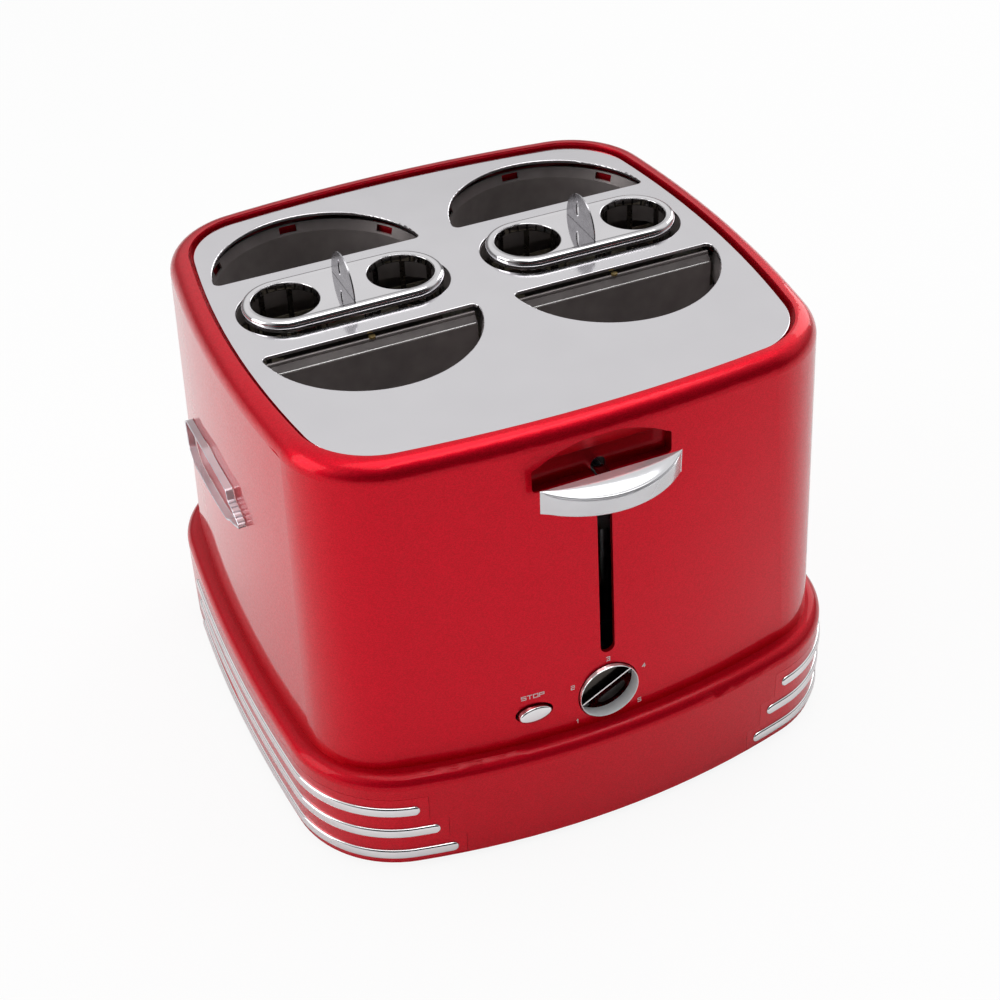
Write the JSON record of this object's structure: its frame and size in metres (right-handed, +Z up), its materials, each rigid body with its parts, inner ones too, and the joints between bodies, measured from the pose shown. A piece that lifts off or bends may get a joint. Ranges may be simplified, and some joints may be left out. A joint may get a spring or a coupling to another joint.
{
  "type": "hot dog toaster",
  "caption": "Countertop pop-up toaster for hot dogs and buns: drafted shell on a stepped base, top plate with bun slots and lift-out sausage baskets, front lever, browning knob and stop button.",
  "frame": {"origin": "centre of the overall footprint on the table plane, under the rubber feet", "axes": "+Z up, +X to the right as seen from the lever side, +Y towards the back; the lever side faces -Y"},
  "size_m": [0.291, 0.296, 0.242],
  "materials": {
    "red_paint": "gloss metallic red enamel",
    "polished_steel": "bright polished",
    "chrome_plating": "mirror",
    "stainless_strip": "satin",
    "dark_coated_steel": "matt heat-resistant coating",
    "galvanised_steel": "zinc coated",
    "brass_rivet": "plain",
    "mica_sheet": "matt",
    "heating_ribbon": "dull",
    "black_rubber": "matt",
    "black_plastic": "matt",
    "circuit_board": "semi-gloss",
    "magnet_iron": "bare"
  },
  "bodies": {
    "housing": {"base_plate": "galvanised_steel", "base_skirt": "red_paint", "bun_guide_left_back": "dark_coated_steel", "bun_guide_left_front": "dark_coated_steel", "bun_guide_right_back": "dark_coated_steel", "bun_guide_right_front": "dark_coated_steel", "bun_liner_left_back": "dark_coated_steel", "bun_liner_left_front": "dark_coated_steel", "bun_liner_right_back": "dark_coated_steel", "bun_liner_right_front": "dark_coated_steel", "centre_channel": "galvanised_steel", "chassis_front": "galvanised_steel", "chassis_rear": "galvanised_steel", "chrome_strip_left_lower": "chrome_plating", "chrome_strip_left_middle": "chrome_plating", "chrome_strip_left_upper": "chrome_plating", "chrome_strip_right_lower": "chrome_plating", "chrome_strip_right_middle": "chrome_plating", "chrome_strip_right_upper": "chrome_plating", "control_board": "circuit_board", "cord_gland": "black_plastic", "foot_screws": "galvanised_steel", "guide_rivets": "brass_rivet", "guide_rod_rear": "galvanised_steel", "guide_rods_front": "galvanised_steel", "heat_shield_left": "galvanised_steel", "heat_shield_right": "galvanised_steel", "heater_board_back": "mica_sheet", "heater_board_front": "mica_sheet", "heater_winding_back": "heating_ribbon", "heater_winding_front": "heating_ribbon", "housing_shell": "red_paint", "latch_magnet": "magnet_iron", "return_springs": "galvanised_steel", "rotary_switch": "black_plastic", "rubber_feet": "black_rubber", "side_trim_left": "red_paint", "side_trim_right": "red_paint", "terminal_block": "black_plastic", "tongs_magnets": "magnet_iron", "top_plate": "polished_steel"},
    "carriage": {"carriage_bracket": "galvanised_steel", "carriage_beam": "galvanised_steel", "latch_plate": "galvanised_steel", "bun_lifter_front": "galvanised_steel", "bun_lifter_back": "galvanised_steel", "basket_cradle": "galvanised_steel", "lever_arm": "galvanised_steel", "lever_grip": "chrome_plating"},
    "basket_left": {"basket_frame_left": "polished_steel", "basket_cage_left": "dark_coated_steel", "basket_tab_left": "polished_steel"},
    "basket_right": {"basket_frame_right": "polished_steel", "basket_cage_right": "dark_coated_steel", "basket_tab_right": "polished_steel"},
    "knob": {"browning_knob": "chrome_plating", "knob_shaft": "black_plastic"},
    "stop": {"stop_button": "chrome_plating"},
    "tray": {"crumb_tray": "red_paint"},
    "tongs": {"tongs": "stainless_strip"}
  },
  "joints": [
    {"name": "lever_slide", "type": "slide", "parent": "housing", "child": "carriage", "axis": [0, 0, 1], "range_m": [-0.092, 0], "stiffness_N_per_m": 100, "springref_m": 0.13, "deforming": ["return_springs"]},
    {"name": "basket_left_lift", "type": "slide", "parent": "carriage", "child": "basket_left", "axis": [0, 0, 1], "range_m": [0, 0.085]},
    {"name": "basket_right_lift", "type": "slide", "parent": "carriage", "child": "basket_right", "axis": [0, 0, 1], "range_m": [0, 0.085]},
    {"name": "knob_turn", "type": "hinge", "parent": "housing", "child": "knob", "pos_m": [0, -0.13, 0.0746], "axis": [0, 1, 0], "range_deg": [0, 240]},
    {"name": "stop_press", "type": "slide", "parent": "housing", "child": "stop", "axis": [0, 1, 0], "range_m": [0, 0.002], "stiffness_N_per_m": 400, "springref_m": -0.002},
    {"name": "tray_slide", "type": "slide", "parent": "housing", "child": "tray", "axis": [0, 1, 0], "range_m": [0, 0.205]},
    {"name": "tongs_lift", "type": "slide", "parent": "housing", "child": "tongs", "axis": [-1, 0, 0], "range_m": [0, 0.02]}
  ]
}
